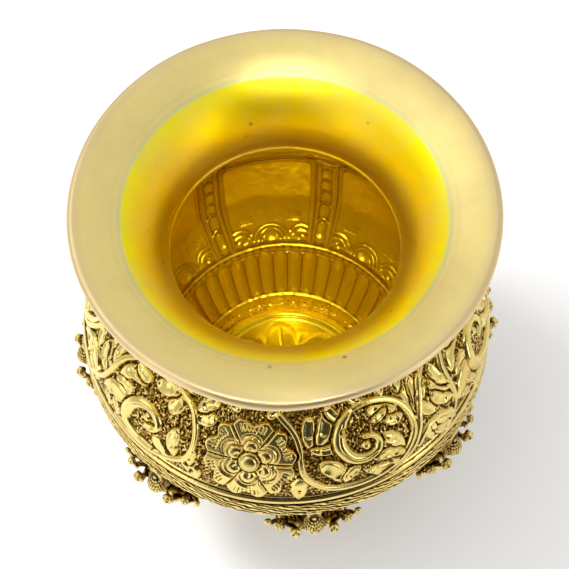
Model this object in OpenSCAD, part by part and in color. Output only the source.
// Wide-mouthed brass ritual pot: spun flaring collar, embossed shoulder, moulded girth band,
// tapering lower body with eight cast seated figures, base disc and foot ring.
// Origin at the centre of the foot's underside, +Z along the axis, first figure towards -Y.

/* [Overall] */
// Diameter over the rolled lip
lip_d = 150; // [140:1:160]
// Height of the centre of the rolled lip
lip_z = 166; // [162:1:172]
// Thickness of the sheet brass
wall = 1.2; // [0.8:0.1:1.4]

/* [Collar] */
// Radius of the rolled lip's section
lip_roll_r = 2; // [1.8:0.1:2.2]
// Radius of the wire inside the lip
wire_r = 1; // [0.7:0.1:1.1]
// Bore radius at the narrowest part of the throat
throat_r = 42.5; // [40:0.5:44]
// Height of the narrowest part of the throat
throat_z = 141; // [138:1:144]
// Length of the collar's straight end inside the shoulder
collar_end = 6; // [4:1:7]

/* [Shoulder and girth] */
// Outer radius at the foot of the shoulder
girth_r = 79.5; // [78:0.5:82]
// Height of the girth band's lower edge
girth_z = 73; // [70:1:75]
// Height of the girth band
girth_h = 14; // [12:0.5:16]
// Radius of the roll along the girth band's upper edge
girth_bead = 1.9; // [1.6:0.1:2.1]

/* [Lower body] */
// Outer radius of the lower body's straight top
body_r = 67.5; // [64:0.5:69]
// How far the lower body's wall stands up above the ledge
body_rise = 18; // [12:1:20]
// Outer radius at the double ring above the flutes
ring_r = 54.5; // [52:0.5:57]
// Height of the double ring above the flutes
ring_z = 40; // [38:1:42]
// Outer radius where the flutes end
flute_end_r = 43; // [42:0.5:45]
// Radius of the hole that the base disc closes
floor_hole_r = 33; // [30:0.5:34]
// Height of the underside of the floor
floor_z = 5.2; // [4:0.1:7]

/* [Base] */
// Radius of the base disc
disc_r = 36.5; // [35.5:0.5:39]
// Outer radius of the foot ring
foot_r = 42; // [40:0.5:44]
// Width of the foot ring's bearing face
foot_w = 4; // [3:0.5:5]

/* [Figures] */
// Distance of the figures' heads from the axis
head_r = 83; // [80:0.5:84]
// Height of the top of the lotus seat
seat_top = 46; // [44:0.5:48]
// Height of the tip of the crown
crown_top = 71.5; // [70:0.5:72]
// Radius of the crown's widest ring
crown_r = 4.6; // [4:0.1:5]

/* [Hidden] */
$fn = 96;

figure_count = 8;
lip_r = lip_d / 2;
lip_centre_r = lip_r - lip_roll_r;
collar_wall = wall + 0.1;
neck_outer_r = throat_r + collar_wall;
shoulder_top_z = throat_z + 1;
ledge_top = girth_z + wall;
sleeve_drop = 6;
body_top_z = ledge_top + body_rise;
floor_corner_r = 4.5;
lug_w = 6;
lug_h = 9.5;
leg_r = head_r - 8;
trunk_r = head_r - 4;
disc_z = floor_z + wall;
disc_step_h = 1.6;
step_w = 2.2;
step_h = 1.6;

// Points along a cubic curve from a to d
function curve(a, b, c, d, n) = [
    for (i = [0:n])
        let (t = i / n, s = 1 - t)
            s * s * s * a + 3 * s * s * t * b + 3 * s * t * t * c + t * t * t * d
];

// Points along an arc about a centre, in degrees
function arc(centre, r, from, to, n) = [
    for (i = [0:n])
        let (q = from + (to - from) * i / n)
            centre + r * [cos(q), sin(q)]
];

function reversed(path) = [for (i = [len(path) - 1:-1:0]) path[i]];

// Unit vector across the path at point i, to the right of its direction
function across(path, i) =
    let (
        a = path[max(i - 1, 0)],
        b = path[min(i + 1, len(path) - 1)],
        d = (b - a) / norm(b - a)
    ) [d[1], -d[0]];

function offset_path(path, t) = [for (i = [0:len(path) - 1]) path[i] + t * across(path, i)];

// Sheet of thickness t on the right of a path of [radius, height] points
module spun(path, t) {
    rotate_extrude() polygon(concat(path, reversed(offset_path(path, t))));
}

module round_ring(ring_radius, z, section_r) {
    translate([0, 0, z]) rotate_extrude() translate([ring_radius, 0]) circle(r = section_r, $fn = 32);
}

module flat_ring(outer_r, inner_r, z, h) {
    translate([0, 0, z]) difference() {
        cylinder(r = outer_r, h = h);
        translate([0, 0, -1]) cylinder(r = inner_r, h = h + 2);
    }
}

// Outside of the shoulder, from the neck to the girth
function shoulder_path() = concat(
    [[neck_outer_r + wall, shoulder_top_z]],
    curve(
        [neck_outer_r + wall, throat_z - collar_end],
        [neck_outer_r + 3, throat_z - 23],
        [girth_r - 3, girth_z + 39],
        [girth_r, girth_z + girth_h - 1.5],
        14
    ),
    [[girth_r, ledge_top]]
);

// Outside of the lower body, from its straight top to the edge of the floor
function body_path() = concat(
    [[body_r, body_top_z], [body_r, girth_z - sleeve_drop]],
    curve([body_r, girth_z - 9], [body_r - 0.5, 56], [ring_r + 6, 48], [ring_r, ring_z + 1], 8),
    curve([ring_r - 1, ring_z - 3.5], [ring_r - 2, 27], [flute_end_r + 4, 17], [flute_end_r, 10], 8),
    arc([flute_end_r - 5, floor_z + floor_corner_r], floor_corner_r, -15, -90, 4)
);

module rim_collar() {
    flare = concat(
        curve([lip_centre_r, lip_z + lip_roll_r], [60, lip_z - 0.5], [46, lip_z - 11], [throat_r, throat_z], 14),
        [[throat_r, throat_z - collar_end]]
    );
    color("khaki") difference() {
        union() {
            spun(flare, -collar_wall);
            round_ring(lip_centre_r, lip_z, lip_roll_r);
        }
        round_ring(lip_centre_r, lip_z, wire_r);
    }
}

module rim_wire() {
    color("goldenrod") round_ring(lip_centre_r, lip_z, wire_r);
}

module shoulder_shell() {
    color("darkgoldenrod") spun(shoulder_path(), wall);
}

// A roll and a slanting strip on the outside, a flat ledge below, and a sleeve around the lower body
module girth_band() {
    band_top = girth_z + girth_h;
    strip_top = band_top - 5.2;
    strip_foot = girth_z + 1.6;
    outline = concat(
        [[girth_r, band_top], [girth_r + 0.3, band_top]],
        arc([girth_r - 0.5, band_top - 2.2], girth_bead, 70, -70, 6),
        [[girth_r + 0.5, strip_top], [girth_r + 1.3, (strip_top + strip_foot) / 2]],
        [[girth_r + girth_bead, strip_foot], [girth_r + girth_bead, girth_z]],
        [[body_r + wall, girth_z], [body_r + wall, girth_z - sleeve_drop]],
        [[body_r, girth_z - sleeve_drop], [body_r, ledge_top], [girth_r, ledge_top]]
    );
    color("gold") rotate_extrude() polygon(outline);
}

module lower_body() {
    color("darkkhaki") union() {
        spun(body_path(), wall);
        flat_ring(flute_end_r - floor_corner_r - 0.4, floor_hole_r, floor_z, wall);
        flat_ring(ring_r + 0.6, ring_r - step_w + 0.6, ring_z - step_h - 2, step_h);
    }
}

module base_disc() {
    color("gold") union() {
        translate([0, 0, disc_z]) cylinder(r = disc_r, h = wall);
        flat_ring(disc_r - 1, disc_r - 3, disc_z, disc_step_h);
        translate([0, 0, disc_z]) cylinder(r = disc_r * 0.3, h = disc_step_h);
    }
}

module foot_ring() {
    foot = concat(
        [[foot_r - foot_w - 2, 0], [foot_r, 0]],
        arc([foot_r - 0.6, 1.3], 1.3, -60, 90, 4),
        [[foot_r - 2.2, floor_z], [foot_r - foot_w - 3.2, floor_z]]
    );
    color("goldenrod") rotate_extrude() polygon(foot);
}

// A round bar between two points
module bar(a, b, r) {
    d = b - a;
    translate(a)
        rotate([0, acos(d[2] / norm(d)), atan2(d[1], d[0])])
            cylinder(r = r, h = norm(d), $fn = 24);
}

module ball(p, r) {
    translate(p) sphere(r = r, $fn = 24);
}

// Everything inside the outer faces of the lower body and of the band's sleeve
module body_space() {
    rotate_extrude() polygon(concat([[0, body_top_z]], body_path(), [[0, floor_z]]));
    translate([0, 0, girth_z - sleeve_drop]) cylinder(r = body_r + wall, h = girth_h + sleeve_drop);
}

// Crown of stacked rings that narrow to a knob, standing on z = 0
module crown(h) {
    ring_count = 4;
    ring_h = h * 0.8 / ring_count;
    for (i = [0:ring_count - 1])
        translate([0, 0, i * ring_h])
            cylinder(r1 = crown_r * (1 - i * 0.19), r2 = crown_r * (0.9 - i * 0.19), h = ring_h);
    translate([0, 0, h * 0.87]) sphere(r = h * 0.13, $fn = 24);
}

// One arm and one lotus stem, on the +X side for side = 1
module raised_arm(side) {
    shoulder = [side * 6, -head_r + 1, seat_top + 11];
    elbow = [side * 10, -trunk_r - 1, seat_top + 7];
    hand = [side * 6.8, -head_r - 3, seat_top + 15.5];
    stem_foot = [side * 12.4, -leg_r + 3, seat_top - 1];
    stem_top = [side * 13.6, -head_r - 0.5, seat_top + 21];
    knee = [side * 9.5, -leg_r, seat_top + 2.8];
    rear_hand = [side * 12.8, -head_r + 1.4, seat_top + 13];
    bar(shoulder, elbow, 1.7);
    bar(elbow, hand, 1.4);
    ball(elbow, 1.8);
    ball(hand, 1.9);
    bar(shoulder, rear_hand, 1.5);
    ball(rear_hand, 1.9);
    bar(stem_foot, stem_top, 1.2);
    ball(stem_top, 2.2);
    ball(knee, 3.4);
    bar(knee, [side * 1, -leg_r - 3, seat_top + 2], 2.4);
}

// Seated crowned figure on a half-round lotus seat, against the lower body at -Y
module seated_figure() {
    seat_centre_r = 62;
    seat_r = 15;
    seat_tier_h = 2.5;
    head_z = seat_top + 15.5;
    shoulder_z = seat_top + 11;
    difference() {
        union() {
            translate([0, -seat_centre_r, seat_top - 2 * seat_tier_h])
                cylinder(r1 = seat_r - 3, r2 = seat_r, h = seat_tier_h);
            translate([0, -seat_centre_r, seat_top - seat_tier_h])
                cylinder(r1 = seat_r, r2 = seat_r - 2, h = seat_tier_h);
            translate([-6, -leg_r, seat_top - 1]) cube([12, leg_r - 57, 15]);
            translate([0, -leg_r, seat_top - 1]) cylinder(r1 = 6.6, r2 = 5.2, h = 7);
            translate([0, -trunk_r, seat_top + 5]) cylinder(r1 = 5, r2 = 6, h = 6.5);
            bar([0, -trunk_r, seat_top + 9], [0, -head_r, head_z], 2.4);
            bar([-6, -head_r + 1, shoulder_z], [6, -head_r + 1, shoulder_z], 2.3);
            ball([0, -head_r, head_z], 3.7);
            translate([0, -head_r - 0.5, head_z + 1.5]) crown(crown_top - head_z - 1.5);
            translate([-lug_w / 2, -girth_r - 3.9, head_z + 6]) cube([lug_w, 2, lug_h]);
            for (side = [-1, 1]) raised_arm(side);
        }
        body_space();
    }
}

module figure(index) {
    color("gold") rotate([0, 0, (index - 1) * 360 / figure_count]) seated_figure();
}

rim_collar();
rim_wire();
shoulder_shell();
girth_band();
lower_body();
base_disc();
foot_ring();
figure(1);  // figure_1
figure(2);  // figure_2
figure(3);  // figure_3
figure(4);  // figure_4
figure(5);  // figure_5
figure(6);  // figure_6
figure(7);  // figure_7
figure(8);  // figure_8
